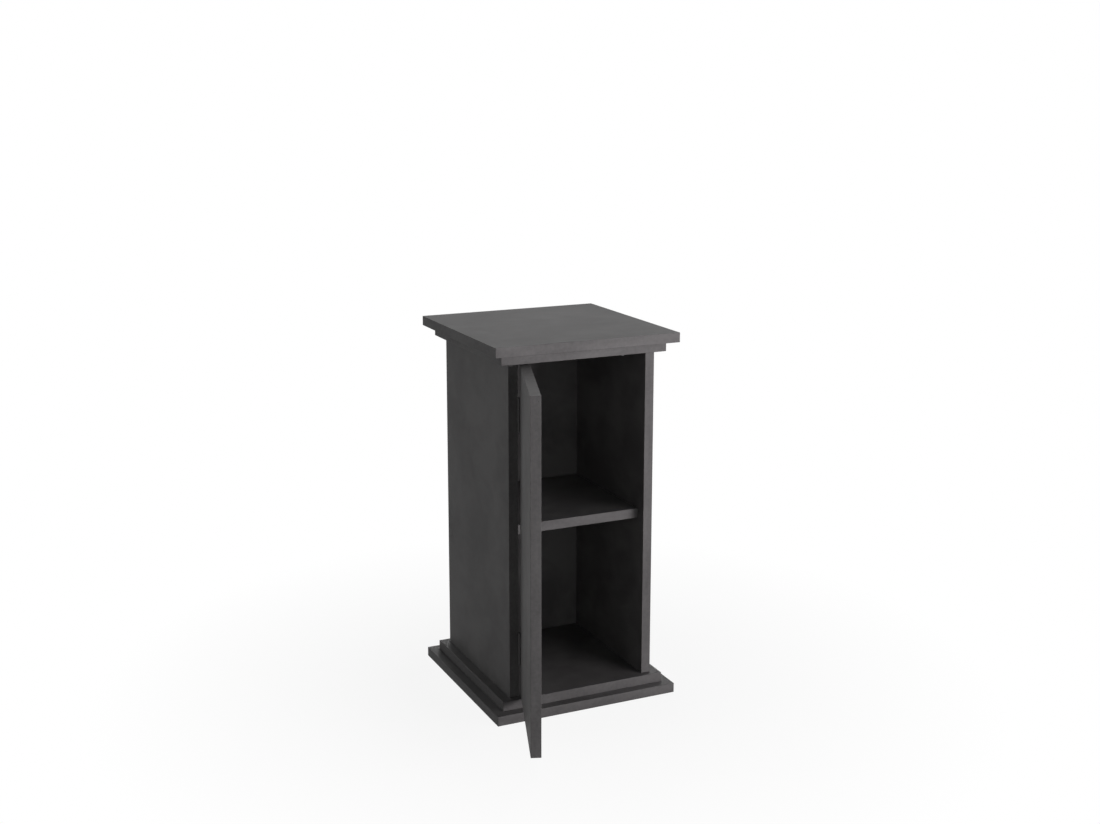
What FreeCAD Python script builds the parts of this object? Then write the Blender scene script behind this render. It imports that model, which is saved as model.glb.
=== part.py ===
import FreeCAD, Part
import os

# Small storage side table: a box of coated particle board between two stepped tiers.
# The origin is the centre of the underside, +Z is up, and the door opens towards -Y.
# All lengths are in millimetres and all angles in degrees.

# Boards
board_thickness = 15.0
edging_thickness = 0.8
edging_joint_gap = 0.05
edge_radius = 0.5
body_width = 240.0
body_depth = 250.0
compartment_height = 250.0
inner_tier_side_overhang = 15.0
inner_tier_front_overhang = 10.0
outer_tier_step = 15.0

# Shelf
shelf_setback = 17.0
shelf_clearance = 0.5

# Door
door_gap = 1.5
door_open_angle = 110.0

# Hinges
hinge_height = 50.0
hinge_inset = 50.0
leaf_thickness = 1.0
leaf_reach = 14.0
leaf_clearance = 0.5
knuckle_radius = 2.5
knuckle_proud = 1.5
knuckle_count = 3
knuckle_end_clearance = 0.3
hinge_pin_radius = 1.25
hinge_pin_clearance = 0.05
hinge_pin_head_radius = 2.0
hinge_pin_head_height = 0.8
wood_relief = 0.3
leaf_screw_spacing = 32.0
leaf_screw_length = 12.0
leaf_screw_radius = 1.5
leaf_screw_head_radius = 2.7

# Dowels
dowel_radius = 4.0
dowel_depth_in_edge = 20.0
dowel_depth_in_face = 10.0
dowel_chamfer = 0.8
dowel_end_clearance = 0.5
side_dowel_inset = 70.0
back_dowel_inset = 100.0

# Connector screws through the inner tiers into the ends of the upright boards
connector_screw_length = 50.0
connector_screw_radius = 2.5
connector_screw_head_radius = 4.0
side_screw_inset = 35.0
back_screw_inset = 45.0

# Wood screws that hold each outer tier to its inner tier
tier_screw_length = 25.0
tier_screw_radius = 2.0
tier_screw_head_radius = 4.0
tier_screw_inset = 45.0
head_sink = 0.3

# Screw drives and holes
hole_clearance = 0.1
drive_width = 0.8
drive_depth = 1.2
drive_span = 0.6
cut_overrun = 2.0

# Shelf pins
shelf_pin_radius = 2.5
shelf_pin_depth = 8.0
shelf_pin_inset = 35.0
shelf_pin_drop = 4.0
shelf_pin_collar_radius = 3.7
shelf_pin_collar_thickness = 1.5
shelf_pin_plate_length = 10.0
shelf_pin_plate_width = 9.0
shelf_pin_plate_thickness = 2.0

# Push latch under the ceiling
latch_inset = 30.0
latch_setback = 30.0
latch_width = 14.0
latch_height = 9.0
latch_length = 42.0
latch_edge_radius = 1.0
latch_flange_thickness = 3.0
latch_flange_reach = 6.5
latch_flange_length = 14.0
latch_stroke = 2.5
latch_stroke_clearance = 0.3
latch_contact_gap = 0.3
latch_bore_wall = 5.0
plunger_radius = 2.5
plunger_clearance = 0.08
plunger_grip = 20.0
plunger_pocket_depth = 8.0
magnet_radius = 1.5
magnet_thickness = 2.0
spring_radius = 1.4
spring_wire_radius = 0.2
spring_pitch = 1.5
latch_screw_length = 12.0
latch_screw_radius = 1.5
latch_screw_head_radius = 2.7

# Strike plate, let flush into the door
strike_width = 26.0
strike_height = 8.0
strike_thickness = 1.0
strike_drop = 5.5
strike_screw_spacing = 18.0
strike_screw_length = 9.0
strike_screw_radius = 1.25
strike_screw_head_radius = 2.2

# Places worked out from the sizes above
body_half_width = body_width / 2
body_half_depth = body_depth / 2
inner_half_width = body_half_width - board_thickness
inner_tier_half_width = body_half_width + inner_tier_side_overhang
inner_tier_half_depth = body_half_depth + inner_tier_front_overhang
outer_tier_half_width = inner_tier_half_width + outer_tier_step
outer_tier_half_depth = inner_tier_half_depth + outer_tier_step

floor_z = 2 * board_thickness
shelf_z = floor_z + compartment_height
ceiling_z = shelf_z + board_thickness + compartment_height
tier_joint_z = ceiling_z + board_thickness

body_front_y = -body_half_depth
back_panel_front_y = body_half_depth - board_thickness
back_panel_middle_y = body_half_depth - board_thickness / 2
side_middle_x = body_half_width - board_thickness / 2
shelf_front_y = body_front_y + shelf_setback
shelf_back_y = back_panel_front_y - shelf_clearance

door_left_x = -inner_half_width + door_gap
door_right_x = inner_half_width - door_gap
door_back_y = body_front_y + board_thickness
door_bottom_z = floor_z + door_gap
door_top_z = ceiling_z - door_gap

hinge_x = -inner_half_width + door_gap / 2
hinge_y = body_front_y - knuckle_proud
hinge_bottoms = [door_bottom_z + hinge_inset, door_top_z - hinge_inset - hinge_height]
leaf_proud = (door_gap - leaf_clearance) / 2
leaf_inner_offset = door_gap / 2 - leaf_proud
leaf_outer_offset = leaf_inner_offset + leaf_thickness
leaf_start = knuckle_radius + knuckle_end_clearance
leaf_screw_y = hinge_y + (leaf_start + leaf_reach) / 2

latch_x = inner_half_width - latch_inset
latch_z = ceiling_z - latch_height / 2
latch_front_y = body_front_y + latch_setback
latch_back_y = latch_front_y + latch_length
strike_z = door_top_z - strike_drop
plunger_tip_y = door_back_y + latch_contact_gap
plunger_back_y = latch_front_y + plunger_grip
latch_bore_end_y = latch_back_y - latch_bore_wall


def vector(x, y, z):
    return FreeCAD.Vector(x, y, z)


UP = vector(0, 0, 1)
DOWN = vector(0, 0, -1)
TO_LEFT = vector(-1, 0, 0)
TO_RIGHT = vector(1, 0, 0)
TO_FRONT = vector(0, -1, 0)
TO_BACK = vector(0, 1, 0)


def box_between(low, high):
    """Box from its lowest to its highest corner, each given as x, y, z."""
    size = [high[axis] - low[axis] for axis in range(3)]
    return Part.makeBox(*size, vector(*low))


def rod(radius, length, start, direction):
    """Cylinder that starts at a point and runs along a direction."""
    return Part.makeCylinder(radius, length, start, direction)


def placed(shape, position, direction):
    """Copy of a shape built along +Z from the origin, moved so that it runs along a direction."""
    copy = shape.copy()
    copy.Placement = FreeCAD.Placement(position, FreeCAD.Rotation(UP, direction))
    return copy


def cut_all(shape, cutters):
    """Shape with every cutter taken away."""
    return shape.cut(cutters) if cutters else shape


def banded_board(low, high, banded_sides):
    """Board between two corners whose listed sides carry glued bands with eased corners.

    The sides are given as outward directions. Returns the bare core and the list of bands.
    """
    core = box_between(low, high)
    eased = []
    for edge in core.Edges:
        for side in banded_sides:
            limit = max(vector(*low).dot(side), vector(*high).dot(side))
            if edge.CenterOfMass.dot(side) > limit - edge_radius:
                eased.append(edge)
                break
    whole = core.makeFillet(edge_radius, eased)
    bands = []
    for side in banded_sides:
        inner = core.translated(side * -edging_thickness)
        band = whole.common(core.cut(inner))
        for earlier, earlier_side in bands:
            band = band.cut(earlier.translated(earlier_side * -edging_joint_gap))
        bands.append((band, side))
        core = core.common(inner)
    return core, [band for band, side in bands]


def turned(profile):
    """Solid made by turning a half profile of (radius, height) points round the Z axis."""
    points = [vector(radius, 0, height) for radius, height in profile]
    outline = Part.makePolygon(points + points[:1])
    return Part.Face(outline).revolve(vector(0, 0, 0), UP, 360)


def countersunk_screw(length, radius, head_radius):
    """Countersunk screw along +Z with the top of its head at the origin and a cross drive."""
    head_height = head_radius - radius
    profile = [
        (0, 0),
        (head_radius, 0),
        (radius, head_height),
        (radius, length - radius),
        (0, length),
    ]
    screw = turned(profile)
    half_span = head_radius * drive_span
    half_width = drive_width / 2
    slots = [
        box_between((-half_span, -half_width, -cut_overrun), (half_span, half_width, drive_depth)),
        box_between((-half_width, -half_span, -cut_overrun), (half_width, half_span, drive_depth)),
    ]
    return screw.cut(slots[0].fuse(slots[1]))


def countersunk_hole(length, radius, head_radius):
    """Cutter for a countersunk screw, wider than the screw by the hole clearance."""
    head_height = head_radius - radius
    profile = [
        (0, -cut_overrun),
        (head_radius + hole_clearance, -cut_overrun),
        (head_radius + hole_clearance, 0),
        (radius + hole_clearance, head_height),
        (radius + hole_clearance, length - radius),
        (0, length + hole_clearance),
    ]
    return turned(profile)


def screws_at(places, length, radius, head_radius):
    """One screw at each (position, direction)."""
    screw = countersunk_screw(length, radius, head_radius)
    return [placed(screw, position, direction) for position, direction in places]


def screw_holes_at(places, length, radius, head_radius):
    """One screw cutter at each (position, direction)."""
    hole = countersunk_hole(length, radius, head_radius)
    return [placed(hole, position, direction) for position, direction in places]


# Fasteners of the carcass. Each list of places serves the pieces and their holes alike.

tier_screw_size = (tier_screw_length, tier_screw_radius, tier_screw_head_radius)
connector_screw_size = (connector_screw_length, connector_screw_radius, connector_screw_head_radius)
leaf_screw_size = (leaf_screw_length, leaf_screw_radius, leaf_screw_head_radius)
latch_screw_size = (latch_screw_length, latch_screw_radius, latch_screw_head_radius)
strike_screw_size = (strike_screw_length, strike_screw_radius, strike_screw_head_radius)


def tier_screw_places(head_z):
    """Four screws that go up through one tier into the next."""
    x = inner_tier_half_width - tier_screw_inset
    y = inner_tier_half_depth - tier_screw_inset
    return [(vector(i * x, j * y, head_z + head_sink), UP) for i in (-1, 1) for j in (-1, 1)]


def connector_screw_places(head_z, direction):
    """Screws through an inner tier into the ends of both sides and of the back."""
    side_y = body_half_depth - side_screw_inset
    back_x = inner_half_width - back_screw_inset
    places = [(vector(i * side_middle_x, j * side_y, head_z), direction) for i in (-1, 1) for j in (-1, 1)]
    places += [(vector(i * back_x, back_panel_middle_y, head_z), direction) for i in (-1, 1)]
    return places


def side_dowel_places():
    """Joint points and directions, from the board's face into the end of the side panel."""
    y = body_half_depth - side_dowel_inset
    places = []
    for joint_z, direction in ((floor_z, UP), (ceiling_z, DOWN)):
        for i in (-1, 1):
            for j in (-1, 1):
                places.append((vector(i * side_middle_x, j * y, joint_z), direction))
    return places


def back_dowel_places():
    """Joint points and directions, from the side panel's face into the edge of the back panel."""
    places = []
    for z in (floor_z + back_dowel_inset, ceiling_z - back_dowel_inset):
        places.append((vector(-inner_half_width, back_panel_middle_y, z), TO_RIGHT))
        places.append((vector(inner_half_width, back_panel_middle_y, z), TO_LEFT))
    return places


def dowels_at(places):
    """Wooden dowels with chamfered ends across each joint point."""
    low = -dowel_depth_in_face
    high = dowel_depth_in_edge
    profile = [
        (0, low),
        (dowel_radius - dowel_chamfer, low),
        (dowel_radius, low + dowel_chamfer),
        (dowel_radius, high - dowel_chamfer),
        (dowel_radius - dowel_chamfer, high),
        (0, high),
    ]
    dowel = turned(profile)
    return [placed(dowel, position, direction) for position, direction in places]


def dowel_holes_at(places):
    """Cutters for the dowels, open across both boards of each joint."""
    length = dowel_depth_in_face + dowel_depth_in_edge + 2 * dowel_end_clearance
    holes = []
    for position, direction in places:
        start = position - direction * (dowel_depth_in_face + dowel_end_clearance)
        holes.append(rod(dowel_radius + hole_clearance, length, start, direction))
    return holes


base_tier_screw_places = tier_screw_places(0)
top_tier_screw_places = tier_screw_places(ceiling_z)
base_connector_places = connector_screw_places(board_thickness, UP)
top_connector_places = connector_screw_places(tier_joint_z, DOWN)


# Shelf pins


def shelf_pin_places():
    """Points on the side panels' faces where the pins enter, with the direction into the board."""
    z = shelf_z - shelf_pin_drop
    ys = (shelf_front_y + shelf_pin_inset, shelf_back_y - shelf_pin_inset)
    places = [(vector(-inner_half_width, y, z), TO_LEFT) for y in ys]
    places += [(vector(inner_half_width, y, z), TO_RIGHT) for y in ys]
    return places


def shelf_pins():
    """Steel pins with a collar and a flat plate that the shelf lies on."""
    pins = []
    for position, direction in shelf_pin_places():
        inward = direction * -1
        pin = rod(shelf_pin_radius, shelf_pin_depth, position, direction)
        stub = rod(shelf_pin_radius, shelf_pin_plate_length, position, inward)
        collar = rod(shelf_pin_collar_radius, shelf_pin_collar_thickness, position, inward)
        plate_end = position + inward * shelf_pin_plate_length
        half_width = shelf_pin_plate_width / 2
        plate = box_between(
            (min(position.x, plate_end.x), position.y - half_width, shelf_z - shelf_pin_plate_thickness),
            (max(position.x, plate_end.x), position.y + half_width, shelf_z),
        )
        pins.append(pin.fuse([stub, collar, plate]).removeSplitter())
    return pins


def shelf_pin_holes():
    """Blind holes for the pins."""
    radius = shelf_pin_radius + hole_clearance
    depth = shelf_pin_depth + hole_clearance
    return [rod(radius, depth, position, direction) for position, direction in shelf_pin_places()]


# Hinges. Everything on the door is built in the closed position and then swung open.


def swung_open(shape):
    """Copy of a shape on the closed door, turned about the hinge axis to the open position."""
    copy = shape.copy()
    copy.rotate(vector(hinge_x, hinge_y, 0), UP, -door_open_angle)
    return copy


def knuckle_span(bottom, index):
    """Start and length of one knuckle of a hinge, counted from the bottom."""
    pitch = hinge_height / knuckle_count
    low = bottom + index * pitch
    high = low + pitch
    if index > 0:
        low += knuckle_end_clearance / 2
    if index < knuckle_count - 1:
        high -= knuckle_end_clearance / 2
    return low, high - low


def hinge_leaf(bottom, side, knuckles):
    """Leaf of a butt hinge with its rolled knuckles; side is -1 on the cabinet and 1 on the door."""
    inner_x = hinge_x + side * leaf_inner_offset
    outer_x = hinge_x + side * leaf_outer_offset
    low_x = min(inner_x, outer_x)
    high_x = max(inner_x, outer_x)
    leaf = box_between(
        (low_x, hinge_y + leaf_start, bottom),
        (high_x, hinge_y + leaf_reach, bottom + hinge_height),
    )
    for index in knuckles:
        start, length = knuckle_span(bottom, index)
        ring = rod(knuckle_radius, length, vector(hinge_x, hinge_y, start), UP)
        neck = box_between((low_x, hinge_y, start), (high_x, hinge_y + leaf_start, start + length))
        leaf = leaf.fuse([ring, neck])
    bore_radius = hinge_pin_radius + hinge_pin_clearance
    bore = rod(bore_radius, hinge_height, vector(hinge_x, hinge_y, bottom), UP)
    holes = screw_holes_at(leaf_screw_places(bottom, side), *leaf_screw_size)
    return leaf.cut([bore] + holes).removeSplitter()


def leaf_screw_places(bottom, side):
    """Two screws of one leaf, driven from its face into the wood behind it."""
    x = hinge_x + side * leaf_inner_offset
    direction = TO_RIGHT if side > 0 else TO_LEFT
    middle = bottom + hinge_height / 2
    half = leaf_screw_spacing / 2
    return [(vector(x, leaf_screw_y, middle + k * half), direction) for k in (-1, 1)]


def hinge_pin(bottom):
    """Pin through the three knuckles, with a flat head on the top one."""
    shank = rod(hinge_pin_radius, hinge_height, vector(hinge_x, hinge_y, bottom), UP)
    head_start = vector(hinge_x, hinge_y, bottom + hinge_height)
    return shank.fuse(rod(hinge_pin_head_radius, hinge_pin_head_height, head_start, UP)).removeSplitter()


def hinge_recesses(side):
    """Cutters that let a leaf, its knuckles and its screws into the wood on one side of the gap."""
    cutters = []
    outer_x = hinge_x + side * leaf_outer_offset
    low_x = min(hinge_x, outer_x)
    high_x = max(hinge_x, outer_x)
    for bottom in hinge_bottoms:
        low_z = bottom - hole_clearance
        high_z = bottom + hinge_height + hole_clearance
        pocket = box_between(
            (low_x, hinge_y - cut_overrun, low_z),
            (high_x, hinge_y + leaf_reach + hole_clearance, high_z),
        )
        relief_low = bottom - wood_relief
        relief_high = bottom + hinge_height + hinge_pin_head_height + wood_relief
        relief_start = vector(hinge_x, hinge_y, relief_low)
        relief = rod(knuckle_radius + wood_relief, relief_high - relief_low, relief_start, UP)
        cutters += [pocket, relief]
        cutters += screw_holes_at(leaf_screw_places(bottom, side), *leaf_screw_size)
    return cutters


def all_leaf_screws(side):
    """Screws of both hinges on one side of the gap."""
    screws = []
    for bottom in hinge_bottoms:
        screws += screws_at(leaf_screw_places(bottom, side), *leaf_screw_size)
    return screws


# Push latch


def latch_screw_places():
    """Screws up through the housing's two flanges."""
    x = latch_width / 2 + latch_flange_reach / 2
    y = latch_front_y + latch_length / 2
    z = ceiling_z - latch_flange_thickness
    return [(vector(latch_x + k * x, y, z), UP) for k in (-1, 1)]


def latch_housing():
    """Plastic housing with a bore for the plunger and two screw flanges under the ceiling."""
    half = latch_width / 2
    body = box_between(
        (latch_x - half, latch_front_y, ceiling_z - latch_height),
        (latch_x + half, latch_back_y, ceiling_z),
    )
    eased = [edge for edge in body.Edges if edge.CenterOfMass.z < ceiling_z - latch_edge_radius]
    body = body.makeFillet(latch_edge_radius, eased)
    middle_y = latch_front_y + latch_length / 2
    reach = half + latch_flange_reach
    flange = box_between(
        (latch_x - reach, middle_y - latch_flange_length / 2, ceiling_z - latch_flange_thickness),
        (latch_x + reach, middle_y + latch_flange_length / 2, ceiling_z),
    )
    bore_start = vector(latch_x, latch_front_y - cut_overrun, latch_z)
    bore_length = latch_bore_end_y - latch_front_y + cut_overrun
    bore = rod(plunger_radius + plunger_clearance, bore_length, bore_start, TO_BACK)
    holes = screw_holes_at(latch_screw_places(), *latch_screw_size)
    return body.fuse(flange).removeSplitter().cut([bore] + holes)


def latch_plunger():
    """Round plunger with a magnet pocket at its tip and a spring pocket at its back."""
    length = plunger_back_y - plunger_tip_y
    tip = vector(latch_x, plunger_tip_y, latch_z)
    body = rod(plunger_radius, length, tip, TO_BACK)
    magnet_pocket = rod(magnet_radius + hole_clearance, magnet_thickness, tip, TO_BACK)
    spring_pocket_start = vector(latch_x, plunger_back_y, latch_z)
    spring_pocket_radius = spring_radius + spring_wire_radius + hole_clearance
    spring_pocket = rod(spring_pocket_radius, plunger_pocket_depth, spring_pocket_start, TO_FRONT)
    return body.cut([magnet_pocket, spring_pocket])


def latch_magnet():
    """Disc magnet in the tip of the plunger."""
    return rod(magnet_radius, magnet_thickness, vector(latch_x, plunger_tip_y, latch_z), TO_BACK)


def latch_spring():
    """Coil spring from the plunger's pocket towards the end of the bore."""
    start_y = plunger_back_y - plunger_pocket_depth + spring_wire_radius
    end_y = latch_bore_end_y - latch_stroke - latch_stroke_clearance - spring_wire_radius
    helix = Part.makeHelix(spring_pitch, end_y - start_y, spring_radius)
    section = Part.Wire(Part.makeCircle(spring_wire_radius, vector(spring_radius, 0, 0), vector(0, 1, 0)))
    coil = Part.Wire(helix).makePipeShell([section], True, True)
    return placed(coil, vector(latch_x, start_y, latch_z), TO_BACK)


def strike_screw_places():
    """Two screws through the strike plate into the closed door."""
    half = strike_screw_spacing / 2
    return [(vector(latch_x + k * half, door_back_y, strike_z), TO_FRONT) for k in (-1, 1)]


def strike_block(margin):
    """Block of the strike plate's size, wider than it by a margin all round its edge."""
    half_width = strike_width / 2 + margin
    half_height = strike_height / 2 + margin
    return box_between(
        (latch_x - half_width, door_back_y - strike_thickness, strike_z - half_height),
        (latch_x + half_width, door_back_y, strike_z + half_height),
    )


def strike_plate():
    """Steel plate in the door's inner face that the magnet holds."""
    return strike_block(0).cut(screw_holes_at(strike_screw_places(), *strike_screw_size))


def strike_recess():
    """Cutters for the strike plate and its screws."""
    return [strike_block(hole_clearance)] + screw_holes_at(strike_screw_places(), *strike_screw_size)


# Boards


def tier(half_width, half_depth, bottom_z, cutters):
    """Flat tier plate banded on all four edges."""
    low = (-half_width, -half_depth, bottom_z)
    high = (half_width, half_depth, bottom_z + board_thickness)
    core, bands = banded_board(low, high, [TO_LEFT, TO_RIGHT, TO_FRONT, TO_BACK])
    return cut_all(core, cutters), bands


def side_panel(side, cutters):
    """Upright side board, banded on its front and back edges; side is -1 at the left."""
    xs = sorted((side * inner_half_width, side * body_half_width))
    low = (xs[0], body_front_y, floor_z)
    high = (xs[1], body_half_depth, ceiling_z)
    core, bands = banded_board(low, high, [TO_FRONT, TO_BACK])
    return cut_all(core, cutters), [cut_all(band, cutters) for band in bands]


def back_panel(cutters):
    """Back board between the sides, with no bands because every edge is covered."""
    low = (-inner_half_width, back_panel_front_y, floor_z)
    high = (inner_half_width, body_half_depth, ceiling_z)
    return cut_all(box_between(low, high), cutters)


def shelf():
    """Loose shelf on its pins, banded at the front."""
    half_width = inner_half_width - shelf_clearance
    low = (-half_width, shelf_front_y, shelf_z)
    high = (half_width, shelf_back_y, shelf_z + board_thickness)
    return banded_board(low, high, [TO_FRONT])


def door():
    """Inset door in its closed position, banded all round."""
    low = (door_left_x, body_front_y, door_bottom_z)
    high = (door_right_x, door_back_y, door_top_z)
    core, bands = banded_board(low, high, [TO_LEFT, TO_RIGHT, DOWN, UP])
    cutters = hinge_recesses(1) + strike_recess()
    return core.cut(cutters), [band.cut(cutters) for band in bands]


def build_nodes():
    """Every piece of the table, as a list of solids for each node name."""
    base_tier_holes = screw_holes_at(base_tier_screw_places, *tier_screw_size)
    top_tier_holes = screw_holes_at(top_tier_screw_places, *tier_screw_size)
    base_connector_holes = screw_holes_at(base_connector_places, *connector_screw_size)
    top_connector_holes = screw_holes_at(top_connector_places, *connector_screw_size)
    side_dowel_holes = dowel_holes_at(side_dowel_places())
    back_dowel_holes = dowel_holes_at(back_dowel_places())
    connector_holes = base_connector_holes + top_connector_holes
    side_holes = connector_holes + side_dowel_holes + back_dowel_holes + shelf_pin_holes()
    latch_screw_holes = screw_holes_at(latch_screw_places(), *latch_screw_size)

    nodes = {}

    def add_board(name, board_and_bands):
        core, bands = board_and_bands
        nodes[name] = [core]
        nodes[name + "_edging"] = bands

    add_board(
        "base_plate_outer",
        tier(outer_tier_half_width, outer_tier_half_depth, 0, base_tier_holes),
    )
    add_board(
        "base_plate_inner",
        tier(
            inner_tier_half_width,
            inner_tier_half_depth,
            board_thickness,
            base_tier_holes + base_connector_holes + side_dowel_holes,
        ),
    )
    add_board("side_panel_left", side_panel(-1, side_holes + hinge_recesses(-1)))
    add_board("side_panel_right", side_panel(1, side_holes))
    nodes["back_panel"] = [back_panel(connector_holes + back_dowel_holes)]
    add_board("shelf", shelf())
    add_board(
        "top_plate_inner",
        tier(
            inner_tier_half_width,
            inner_tier_half_depth,
            ceiling_z,
            top_tier_holes + top_connector_holes + side_dowel_holes + latch_screw_holes,
        ),
    )
    add_board(
        "top_plate_outer",
        tier(outer_tier_half_width, outer_tier_half_depth, tier_joint_z, top_tier_holes),
    )

    nodes["carcass_dowels"] = dowels_at(side_dowel_places())
    nodes["back_panel_dowels"] = dowels_at(back_dowel_places())
    nodes["carcass_screws_base"] = screws_at(base_connector_places, *connector_screw_size)
    nodes["carcass_screws_top"] = screws_at(top_connector_places, *connector_screw_size)
    nodes["tier_screws_base"] = screws_at(base_tier_screw_places, *tier_screw_size)
    nodes["tier_screws_top"] = screws_at(top_tier_screw_places, *tier_screw_size)
    nodes["shelf_pins"] = shelf_pins()

    for bottom, level in zip(hinge_bottoms, ("lower", "upper")):
        cabinet_leaf = hinge_leaf(bottom, -1, range(0, knuckle_count, 2))
        door_leaf = hinge_leaf(bottom, 1, range(1, knuckle_count, 2))
        nodes["hinge_leaf_cabinet_" + level] = [cabinet_leaf]
        nodes["hinge_leaf_door_" + level] = [swung_open(door_leaf)]
    nodes["hinge_pins"] = [hinge_pin(bottom) for bottom in hinge_bottoms]
    nodes["hinge_screws_cabinet"] = all_leaf_screws(-1)
    nodes["hinge_screws_door"] = [swung_open(screw) for screw in all_leaf_screws(1)]

    door_core, door_bands = door()
    nodes["door_panel"] = [swung_open(door_core)]
    nodes["door_edging"] = [swung_open(band) for band in door_bands]

    nodes["latch_housing"] = [latch_housing()]
    nodes["latch_plunger"] = [latch_plunger()]
    nodes["latch_magnet"] = [latch_magnet()]
    nodes["latch_spring"] = [latch_spring()]
    nodes["latch_screws"] = screws_at(latch_screw_places(), *latch_screw_size)
    nodes["strike_plate"] = [swung_open(strike_plate())]
    nodes["strike_screws"] = [
        swung_open(screw) for screw in screws_at(strike_screw_places(), *strike_screw_size)
    ]
    return nodes


def write_nodes(nodes):
    """Write one STEP file for each node."""
    os.makedirs("parts", exist_ok=True)
    for name, shapes in nodes.items():
        solids = [solid for shape in shapes for solid in shape.Solids]
        shape = solids[0] if len(solids) == 1 else Part.makeCompound(solids)
        shape.exportStep("parts/" + name + ".step")
        volume = round(sum(solid.Volume for solid in solids))
        print(name, len(solids), "solids", volume, "mm3", "valid" if shape.isValid() else "INVALID")


write_nodes(build_nodes())
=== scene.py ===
import math

import bpy
from mathutils import Euler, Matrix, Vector

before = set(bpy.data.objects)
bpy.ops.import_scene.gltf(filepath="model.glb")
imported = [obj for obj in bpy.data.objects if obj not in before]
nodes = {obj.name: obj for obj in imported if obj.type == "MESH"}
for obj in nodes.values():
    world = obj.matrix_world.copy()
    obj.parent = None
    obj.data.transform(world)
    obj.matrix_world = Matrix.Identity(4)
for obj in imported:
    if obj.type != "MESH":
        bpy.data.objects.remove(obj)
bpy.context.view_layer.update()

# ---------------------------------------------------------------------------------------
# Camera. It stands in front of the table a little to the left and looks down on the top,
# so that the left side, the open door's edge and the two compartments all show.

camera_place = Vector((-0.957, -2.073, 0.979))
camera_turn = math.radians(24.70)
camera_tilt = math.radians(-11.3)
level_view = math.radians(90)
focal_length = 49.05
sensor_width = 36.0
shift_down = 0.05
shift_right = 0.0043

camera_data = bpy.data.cameras.new("camera")
camera_data.sensor_width = sensor_width
camera_data.lens = focal_length
camera_data.shift_x = shift_right
camera_data.shift_y = -shift_down
camera = bpy.data.objects.new("camera", camera_data)
camera.location = camera_place
camera.rotation_euler = Euler((level_view + camera_tilt, 0, -camera_turn))
bpy.context.scene.collection.objects.link(camera)
bpy.context.scene.camera = camera

# ---------------------------------------------------------------------------------------
# Floor. A matt white studio sweep that keeps the soft shadow of the table. To the camera
# it glows white, and a little less close to the table, so that the shadow shows. A mirror
# or glass shows its white colour as the lamps light it, with some of the glow.

floor_size = 24.0
floor_white = (0.94, 0.94, 0.94, 1)
floor_grey = (0.80, 0.80, 0.80, 1)
floor_glow = 0.90
mirrored_glow = 0.3
fade_start = 0.22
fade_length = 0.5
WHITE = (1, 1, 1, 1)

# A Mix node's sockets for colours, which are told apart only by their number.
MIX_FACTOR = 0
MIX_FIRST = 6
MIX_SECOND = 7
MIX_RESULT = 2


class Value:
    """A shader socket on which Python arithmetic adds Math nodes."""

    def __init__(self, graph, socket):
        self.graph = graph
        self.socket = socket

    def math(self, operation, first, second):
        settings = {"operation": operation}
        return self.graph.node("ShaderNodeMath", settings, {0: first, 1: second})

    def __add__(self, other):
        return self.math("ADD", self, other)

    def __sub__(self, other):
        return self.math("SUBTRACT", self, other)

    def __rsub__(self, other):
        return self.math("SUBTRACT", other, self)

    def __mul__(self, other):
        return self.math("MULTIPLY", self, other)

    def __truediv__(self, other):
        return self.math("DIVIDE", self, other)

    def __gt__(self, other):
        return self.math("GREATER_THAN", self, other)

    def larger(self, other):
        return self.math("MAXIMUM", self, other)

    def clipped(self):
        """The value kept between nought and one."""
        return self.graph.node("ShaderNodeClamp", {}, {"Value": self})

    __radd__ = __add__
    __rmul__ = __mul__


class Graph:
    """A node tree, to which nodes are added one call at a time."""

    def __init__(self, tree):
        self.tree = tree

    def node(self, kind, settings=None, sockets=None, output=0):
        """Add a node with its settings and sockets, and give one of its outputs."""
        node = self.tree.nodes.new(kind)
        for name, setting in (settings or {}).items():
            setattr(node, name, setting)
        for name, value in (sockets or {}).items():
            self.feed(node.inputs[name], value)
        return Value(self, node.outputs[output])

    def feed(self, socket, value):
        """Link a value to a socket, or set the socket to a number or a colour."""
        if isinstance(value, Value):
            self.tree.links.new(value.socket, socket)
        else:
            socket.default_value = value

    def mix(self, factor, first, second):
        """Blend two colours."""
        sockets = {MIX_FACTOR: factor, MIX_FIRST: first, MIX_SECOND: second}
        return self.node("ShaderNodeMix", {"data_type": "RGBA"}, sockets, MIX_RESULT)

    def shown(self):
        """One to the camera, in a mirror or through glass, and nought to the light."""
        seen = self.node("ShaderNodeLightPath", output="Is Camera Ray")
        mirrored = self.node("ShaderNodeLightPath", output="Is Glossy Ray")
        through = self.node("ShaderNodeLightPath", output="Is Transmission Ray")
        return seen.larger(mirrored).larger(through)


class Finish(Graph):
    """A material of one Principled shader."""

    def __init__(self, name):
        self.material = bpy.data.materials.new(name)
        self.material.use_nodes = True
        super().__init__(self.material.node_tree)
        self.shader = self.tree.nodes["Principled BSDF"]
        self.output = self.tree.nodes["Material Output"]

    def place(self):
        """Where on the piece a point is, in metres."""
        return self.node("ShaderNodeTexCoord", output="Object")

    def set(self, **sockets):
        """Feed the shader's sockets, each named with underscores for its spaces."""
        for name, value in sockets.items():
            self.feed(self.shader.inputs[name.replace("_", " ")], value)


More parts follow.
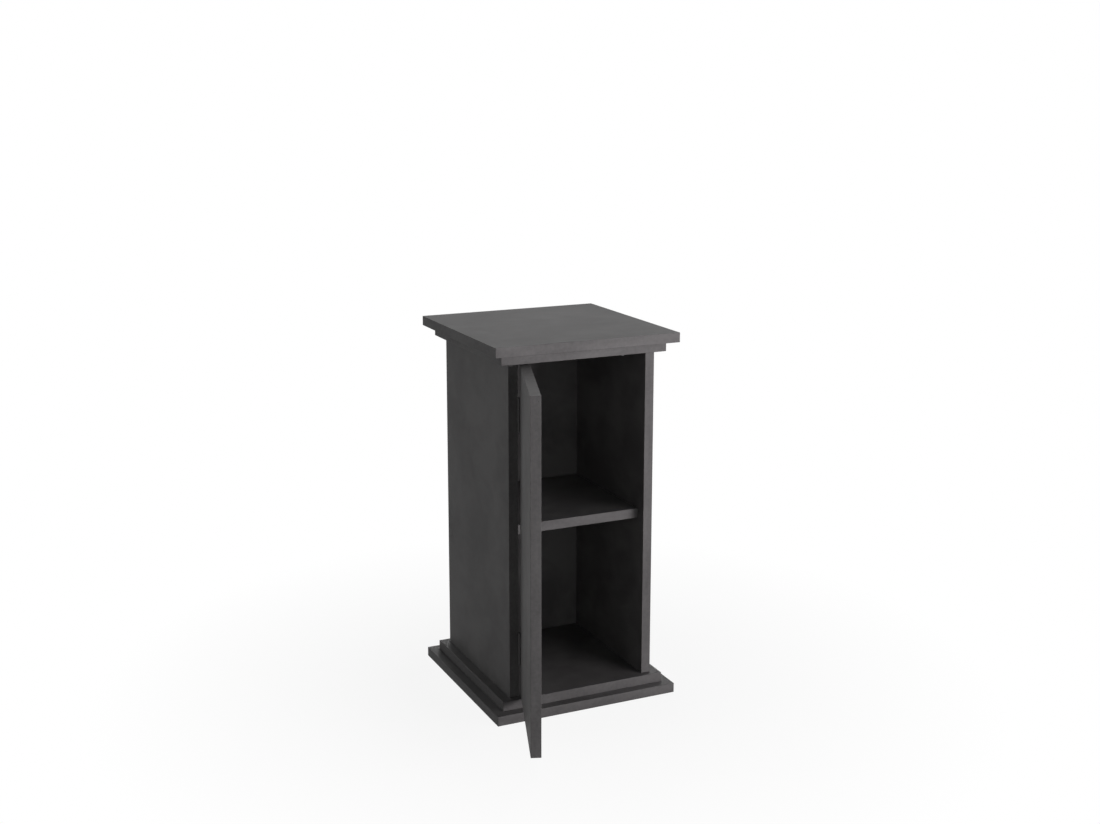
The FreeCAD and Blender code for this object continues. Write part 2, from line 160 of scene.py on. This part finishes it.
def studio_floor():
    """Matt white whose glow to the camera grows to full white away from the table."""
    finish = Finish("studio_floor")
    shown = finish.shown()
    seen = finish.node("ShaderNodeLightPath", output="Is Camera Ray")
    length = {"operation": "LENGTH"}
    sockets = {0: finish.place()}
    reach = finish.node("ShaderNodeVectorMath", length, sockets, output="Value")
    far = ((reach - fade_start) / fade_length).clipped()
    seen_glow = floor_glow + (1 - floor_glow) * far
    glow = seen * seen_glow + (shown - seen) * mirrored_glow

    colour = finish.mix(shown, floor_grey, floor_white)
    matt = finish.node("ShaderNodeBsdfDiffuse", {}, {"Color": colour})
    light = finish.node("ShaderNodeEmission", {}, {"Color": WHITE, "Strength": 1.0})
    blend = finish.node("ShaderNodeMixShader", {}, {0: glow, 1: matt, 2: light})
    finish.feed(finish.output.inputs["Surface"], blend)
    return finish.material


bpy.ops.object.select_all(action="DESELECT")
bpy.ops.mesh.primitive_plane_add(size=floor_size)
floor = bpy.context.object
floor.name = "floor"
floor.data.materials.append(studio_floor())

# ---------------------------------------------------------------------------------------
# Light. A wide, low soft lamp with a grid stands in front on the right, aimed above the
# top. A small one hangs overhead, and a weak one behind is below the level of the top.
# Pale walls all round light the sides, and are plain white to the camera and in a mirror.

wall_level = 0.69
wall_rise = math.sin(math.radians(25))


def soft_lamp(name, place, target, size, power, spread, colour=(1.0, 1.0, 1.0)):
    """Rectangular soft lamp that faces a point."""
    lamp = bpy.data.objects.new(name, bpy.data.lights.new(name, "AREA"))
    lamp.data.shape = "RECTANGLE"
    lamp.data.size, lamp.data.size_y = size
    lamp.data.energy = power
    lamp.data.spread = math.radians(spread)
    lamp.data.color = colour
    lamp.location = place
    lamp.rotation_euler = (target - place).to_track_quat("-Z", "Y").to_euler()
    lamp.visible_camera = False
    bpy.context.scene.collection.objects.link(lamp)


soft_lamp(
    "key_lamp",
    place=Vector((1.763, -2.427, 0.64)),
    target=Vector((0.0, 0.0, 0.86)),
    size=(2.0, 0.8),
    power=19.8,
    spread=80,
    colour=(1.0, 0.955, 0.98),
)
soft_lamp(
    "overhead_lamp",
    place=Vector((0.30, 0.10, 2.3)),
    target=Vector((0.0, 0.0, 0.0)),
    size=(0.5, 0.5),
    power=4.5,
    spread=180,
)
soft_lamp(
    "back_lamp",
    place=Vector((1.2, 2.5, 0.29)),
    target=Vector((0.0, 0.0, 0.29)),
    size=(0.8, 0.5),
    power=5.0,
    spread=120,
)

world = bpy.data.worlds.new("surround")
world.use_nodes = True
bpy.context.scene.world = world
surround = Graph(world.node_tree)
background = world.node_tree.nodes["Background"]
direction = surround.node("ShaderNodeTexCoord", output="Generated")
rise = surround.node("ShaderNodeSeparateXYZ", {}, {0: direction}, output="Z")
shown = surround.shown()
walls = (1 - (rise > wall_rise)) * wall_level
surround.feed(background.inputs["Color"], WHITE)
surround.feed(background.inputs["Strength"], shown + (1 - shown) * walls)
bpy.context.scene.view_settings.view_transform = "Standard"

# ---------------------------------------------------------------------------------------
# Base. Two coated particle boards, one on the other, under a concrete-look melamine film:
# a satin print of soft trowelled clouds, with fine grit and a few small pores.

board_dark = (0.083, 0.081, 0.081, 1)
board_light = (0.119, 0.1165, 0.116, 1)
board_gloss = 0.15
board_roughness = 0.50
board_roughness_swing = 0.16

cloud_scale = 9.0
cloud_contrast = 3.0
patch_scale = 20.0
patch_contrast = 2.4
wisp_scale = 60.0
wisp_contrast = 0.6
wisp_relief = 0.5
grit_scale = 1400.0
grit_contrast = 0.3
grit_relief = 0.35
film_relief = {"strength": 0.25, "depth": 0.0002}

pore_colour = (0.020, 0.019, 0.018, 1)
pore_cell_scale = 30.0
pore_share = 0.12
pore_radius = 0.030
pore_steepness = 2 / pore_radius
pore_dullness = 0.3
pore_depth = 4.0

# The print's scale along x, y and z on flat and upright boards. Below one draws it out.
ACROSS = (0.85, 1.0, 1.0)
UPRIGHT = (1.0, 0.85, 1.0)

# Every pattern runs from nought to one, about this middle.
MIDDLE = 0.5


def moved(finish, place, offset, stretch):
    """A piece's own cut from the print, shifted and drawn out."""
    sockets = {"Vector": place, "Location": offset, "Scale": stretch}
    return finish.node("ShaderNodeMapping", {}, sockets)


def noise(finish, place, scale, detail, distortion=0.0):
    """Soft random pattern between nought and one."""
    sockets = {"Vector": place, "Scale": scale, "Detail": detail}
    sockets["Distortion"] = distortion
    return finish.node("ShaderNodeTexNoise", {}, sockets)


def swing(pattern, amount):
    """How far a pattern is from its middle, times an amount."""
    return (pattern - MIDDLE) * amount


def relief(finish, height, strength, depth):
    """Fine relief in the surface, no deeper than a depth in metres."""
    sockets = {"Height": height, "Strength": strength, "Distance": depth}
    finish.set(Normal=finish.node("ShaderNodeBump", {}, sockets))


def pores(finish, place, cell_scale, share):
    """Small round pits, one in each chosen cell of a scattered grid."""
    cell = {"Vector": place, "Scale": cell_scale, "Randomness": 1.0}
    distance = finish.node("ShaderNodeTexVoronoi", {}, cell, output="Distance")
    lottery = finish.node("ShaderNodeTexVoronoi", {}, cell, output="Color")
    chosen = finish.node("ShaderNodeSeparateColor", {}, {"Color": lottery}) > 1 - share
    return ((pore_radius - distance) * pore_steepness).clipped() * chosen


def concrete_film(name, stretch, offset):
    """Melamine film: trowelled clouds, finer patches, grit and scattered pores."""
    finish = Finish(name)
    place = moved(finish, finish.place(), offset, stretch)
    clouds = noise(finish, place, cloud_scale, detail=2.0, distortion=0.3)
    patches = noise(finish, place, patch_scale, detail=3.0, distortion=0.5)
    wisps = noise(finish, place, wisp_scale, detail=3.0)
    grit = noise(finish, place, grit_scale, detail=2.0)
    pore = pores(finish, place, pore_cell_scale, pore_share)

    tone = MIDDLE + swing(clouds, cloud_contrast) + swing(patches, patch_contrast)
    tone = tone + swing(wisps, wisp_contrast) + swing(grit, grit_contrast)
    film = finish.mix(tone.clipped(), board_dark, board_light)
    dullness = swing(patches, board_roughness_swing) + pore * pore_dullness
    height = grit * grit_relief + wisps * wisp_relief - pore * pore_depth

    finish.set(Base_Color=finish.mix(pore, film, pore_colour))
    finish.set(Roughness=board_roughness + dullness, Specular_IOR_Level=board_gloss)
    relief(finish, height, **film_relief)
    return finish.material


def dress(name, material):
    """Give a CAD piece its material."""
    slots = nodes[name].data.materials
    slots.clear()
    slots.append(material)


dress("base_plate_outer", concrete_film("film_base_outer", ACROSS, (0.31, 0.12, 0.05)))
dress("base_plate_inner", concrete_film("film_base_inner", ACROSS, (1.17, 0.43, 0.36)))

# ---------------------------------------------------------------------------------------
# Edge bands. Plastic strips in the same print, glued on the sawn edges and eased at the
# corners. The print runs along each strip as light and dark streaks.

band_dark = (0.080, 0.078, 0.078, 1)
band_light = (0.124, 0.1215, 0.121, 1)
band_roughness = 0.50
band_roughness_swing = 0.12

streak_scale = 55.0
streak_contrast = 1.6
streak_relief = 0.6
fleck_scale = 210.0
fleck_contrast = 0.9
band_cloud_contrast = 1.2
band_grit_relief = 0.4
band_relief = {"strength": 0.2, "depth": 0.0002}
band_pore_scale = 62.0
band_pore_share = 0.30

# The streaks' scale along x, y and z on level and on upright strips.
LEVEL = (0.22, 0.22, 1.0)
PLUMB = (1.0, 1.0, 0.16)


def concrete_band(name, stretch, offset):
    """Edge band: the board's print drawn out in streaks, with smaller pores."""
    finish = Finish(name)
    place = finish.place()
    drawn = moved(finish, place, offset, stretch)
    streaks = noise(finish, drawn, streak_scale, detail=3.0, distortion=0.2)
    clouds = noise(finish, place, cloud_scale, detail=3.0)
    flecks = noise(finish, place, fleck_scale, detail=2.0)
    grit = noise(finish, place, grit_scale, detail=2.0)
    pore = pores(finish, place, band_pore_scale, band_pore_share)

    tone = MIDDLE + swing(streaks, streak_contrast) + swing(clouds, band_cloud_contrast)
    tone = tone + swing(flecks, fleck_contrast) + swing(grit, grit_contrast)
    band = finish.mix(tone.clipped(), band_dark, band_light)
    dullness = swing(clouds, band_roughness_swing) + pore * pore_dullness
    height = grit * band_grit_relief + streaks * streak_relief - pore * pore_depth

    finish.set(Base_Color=finish.mix(pore, band, pore_colour))
    finish.set(Roughness=band_roughness + dullness, Specular_IOR_Level=board_gloss)
    relief(finish, height, **band_relief)
    return finish.material


dress("base_plate_outer_edging", concrete_band("band_base_outer", LEVEL, (0.2, 0.7, 0.1)))
dress("base_plate_inner_edging", concrete_band("band_base_inner", LEVEL, (0.9, 0.3, 0.6)))

# ---------------------------------------------------------------------------------------
# Carcass. Two upright sides with the back between them, from the same board. The print
# stands upright on them, and only the front and back edges of the sides are banded.

dress("side_panel_left", concrete_film("film_side_left", UPRIGHT, (2.24, 0.31, 0.92)))
dress("side_panel_right", concrete_film("film_side_right", UPRIGHT, (3.61, 1.24, 0.27)))
dress("back_panel", concrete_film("film_back", UPRIGHT, (4.42, 2.13, 1.55)))
dress("side_panel_left_edging", concrete_band("band_side_left", PLUMB, (1.4, 0.2, 0.5)))
dress("side_panel_right_edging", concrete_band("band_side_right", PLUMB, (2.7, 1.8, 0.4)))

# ---------------------------------------------------------------------------------------
# Shelf. One board of the same kind, banded at the front edge. It lies loose on four pins
# in the sides, a little back from the door.

dress("shelf", concrete_film("film_shelf", ACROSS, (5.33, 0.74, 2.08)))
dress("shelf_edging", concrete_band("band_shelf", LEVEL, (3.3, 0.6, 1.2)))

# ---------------------------------------------------------------------------------------
# Top. Two boards like the base: the smaller one ties the carcass, the wider one is the
# table top and is fixed from below, so that its face is unbroken.

dress("top_plate_inner", concrete_film("film_top_inner", ACROSS, (6.04, 1.41, 0.66)))
dress("top_plate_outer", concrete_film("film_top_outer", ACROSS, (7.52, 0.28, 1.83)))
dress("top_plate_inner_edging", concrete_band("band_top_inner", LEVEL, (4.1, 2.4, 0.8)))
dress("top_plate_outer_edging", concrete_band("band_top_outer", LEVEL, (5.6, 1.1, 0.3)))

# ---------------------------------------------------------------------------------------
# Door. An inset board of the same kind, banded all round, that hangs on two hinges at the
# left. Its print stands upright as on the sides.

dress("door_panel", concrete_film("film_door", UPRIGHT, (8.27, 3.32, 1.14)))
dress("door_edging", concrete_band("band_door", PLUMB, (6.2, 0.9, 2.2)))

# ---------------------------------------------------------------------------------------
# Hinges. Two small butt hinges of folded steel, each with a steel pin and countersunk
# screws. All are powder-coated, a little darker than the boards.

coat_dark = (0.034, 0.033, 0.033, 1)
coat_light = (0.052, 0.051, 0.051, 1)
coat_roughness = 0.48
coat_roughness_swing = 0.2
coat_shade_scale = 90.0
peel_scale = 1100.0


def powder_coat():
    """Baked powder with a fine orange-peel skin."""
    finish = Finish("dark_powder_coat")
    place = finish.place()
    peel = noise(finish, place, peel_scale, detail=2.0)
    shade = noise(finish, place, coat_shade_scale, detail=3.0)
    finish.set(Base_Color=finish.mix(shade, coat_dark, coat_light))
    finish.set(Roughness=coat_roughness + swing(shade, coat_roughness_swing))
    relief(finish, peel, strength=0.35, depth=0.0001)
    return finish.material


coat = powder_coat()
for piece in (
    "hinge_leaf_cabinet_lower",
    "hinge_leaf_cabinet_upper",
    "hinge_leaf_door_lower",
    "hinge_leaf_door_upper",
    "hinge_pins",
    "hinge_screws_cabinet",
    "hinge_screws_door",
):
    dress(piece, coat)

# ---------------------------------------------------------------------------------------
# Fixings. The screws of the boards and the latch, the shelf pins, the latch's spring, and
# the strike plate on the door with its screws. All are zinc-plated steel.

zinc_dark = (0.22, 0.22, 0.215, 1)
zinc_light = (0.38, 0.38, 0.37, 1)
zinc_roughness = 0.58
mottle_scale = 160.0
mottle_contrast = 1.6
mottle_roughness_swing = 0.2
mark_scale = 2400.0
mark_contrast = 0.6
mark_roughness_swing = 0.1
mark_stretch = (1.0, 1.0, 0.05)


def zinc_plate():
    """Zinc plating with fine rubbing marks and a slightly uneven shine."""
    finish = Finish("zinc_plate")
    place = finish.place()
    drawn = finish.node("ShaderNodeMapping", {}, {"Vector": place, "Scale": mark_stretch})
    mottle = noise(finish, place, mottle_scale, detail=4.0)
    marks = noise(finish, drawn, mark_scale, detail=2.0)
    tone = MIDDLE + swing(mottle, mottle_contrast) + swing(marks, mark_contrast)
    mottle_dullness = swing(mottle, mottle_roughness_swing)
    mark_dullness = swing(marks, mark_roughness_swing)
    finish.set(Base_Color=finish.mix(tone.clipped(), zinc_dark, zinc_light))
    finish.set(Roughness=zinc_roughness + mottle_dullness + mark_dullness)
    finish.set(Metallic=1.0)
    relief(finish, marks, strength=0.15, depth=0.00005)
    return finish.material


zinc = zinc_plate()
for piece in (
    "shelf_pins",
    "carcass_screws_base",
    "carcass_screws_top",
    "tier_screws_base",
    "tier_screws_top",
    "latch_screws",
    "latch_spring",
    "strike_plate",
    "strike_screws",
):
    dress(piece, zinc)

# ---------------------------------------------------------------------------------------
# Dowels. Turned beech pins, glued into the joints between the sides, the back and the
# two inner plates.

beech_dark = (0.36, 0.23, 0.12, 1)
beech_light = (0.56, 0.39, 0.22, 1)
beech_roughness = 0.65
beech_roughness_swing = 0.2
ray_scale = 900.0
ray_stretch = (1.0, 1.0, 0.12)


def beech():
    """Raw beech with short darker flecks along the grain."""
    finish = Finish("raw_beech")
    sockets = {"Vector": finish.place(), "Scale": ray_stretch}
    drawn = finish.node("ShaderNodeMapping", {}, sockets)
    rays = noise(finish, drawn, ray_scale, detail=3.0)
    finish.set(Base_Color=finish.mix(rays, beech_dark, beech_light))
    finish.set(Roughness=beech_roughness + swing(rays, beech_roughness_swing))
    return finish.material


wood = beech()
dress("carcass_dowels", wood)
dress("back_panel_dowels", wood)

# ---------------------------------------------------------------------------------------
# Push latch. A moulded housing screwed under the cabinet's ceiling, with a round plunger
# that has a small magnet with a black epoxy coat in its tip.

plastic_dark = (0.016, 0.016, 0.017, 1)
plastic_light = (0.030, 0.030, 0.031, 1)
plastic_roughness = 0.50
plastic_roughness_swing = 0.3
grain_scale = 2600.0
epoxy_dark = (0.018, 0.018, 0.018, 1)
epoxy_light = (0.034, 0.034, 0.034, 1)
epoxy_roughness = 0.42
epoxy_roughness_swing = 0.2
epoxy_scale = 1800.0


def moulded_plastic():
    """Spark-eroded mould texture on dark plastic."""
    finish = Finish("moulded_plastic")
    grain = noise(finish, finish.place(), grain_scale, detail=2.0)
    finish.set(Base_Color=finish.mix(grain, plastic_dark, plastic_light))
    finish.set(Roughness=plastic_roughness + swing(grain, plastic_roughness_swing))
    relief(finish, grain, strength=0.3, depth=0.0001)
    return finish.material


def epoxy_coat():
    """Thin black epoxy on a small pressed magnet, slightly uneven."""
    finish = Finish("black_epoxy")
    unevenness = noise(finish, finish.place(), epoxy_scale, detail=2.0)
    finish.set(Base_Color=finish.mix(unevenness, epoxy_dark, epoxy_light))
    finish.set(Roughness=epoxy_roughness + swing(unevenness, epoxy_roughness_swing))
    relief(finish, unevenness, strength=0.2, depth=0.00005)
    return finish.material


plastic = moulded_plastic()
dress("latch_housing", plastic)
dress("latch_plunger", plastic)
dress("latch_magnet", epoxy_coat())
